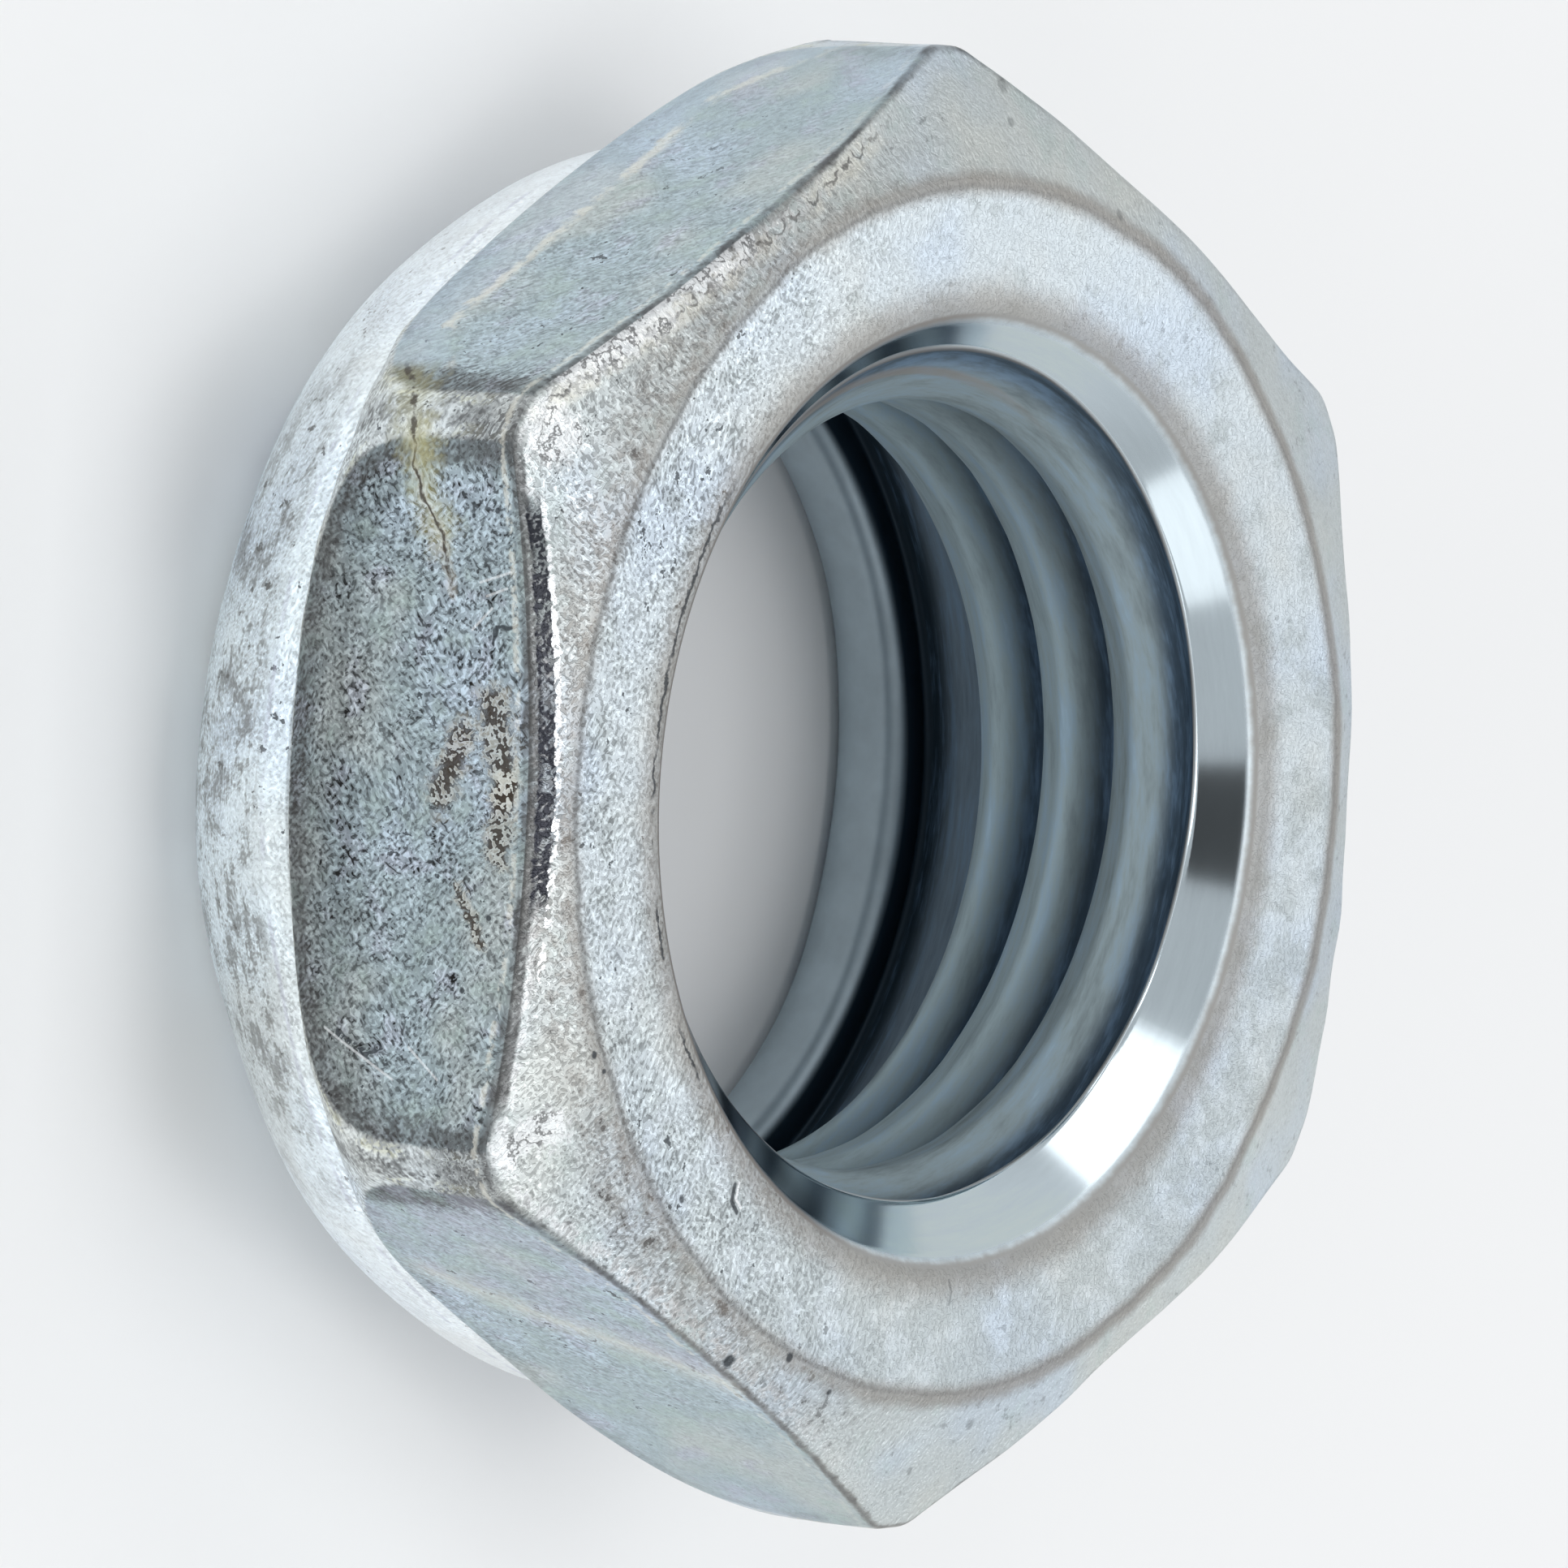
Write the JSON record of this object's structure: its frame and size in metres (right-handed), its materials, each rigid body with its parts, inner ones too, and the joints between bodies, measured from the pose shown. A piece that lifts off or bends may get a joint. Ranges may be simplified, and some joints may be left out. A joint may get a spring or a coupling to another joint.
{
  "type": "lock nut",
  "caption": "Thin self-locking hexagon nut in zinc-plated steel: chamfered bearing face, countersunk threaded bore, and a round collar rolled in at the rim.",
  "frame": {"origin": "centre of the collar's rim, on the surface that the nut rests on", "axes": "+Z along the thread's axis, out of the bearing face; +X square to one pair of flats"},
  "size_m": [0.018, 0.0204, 0.0076],
  "materials": {
    "zinc_plated_steel": "dull blue-white zinc plating, a little rough, with stains along the edges"
  },
  "bodies": {
    "root": {"nut_body": "zinc_plated_steel"}
  },
  "joints": []
}
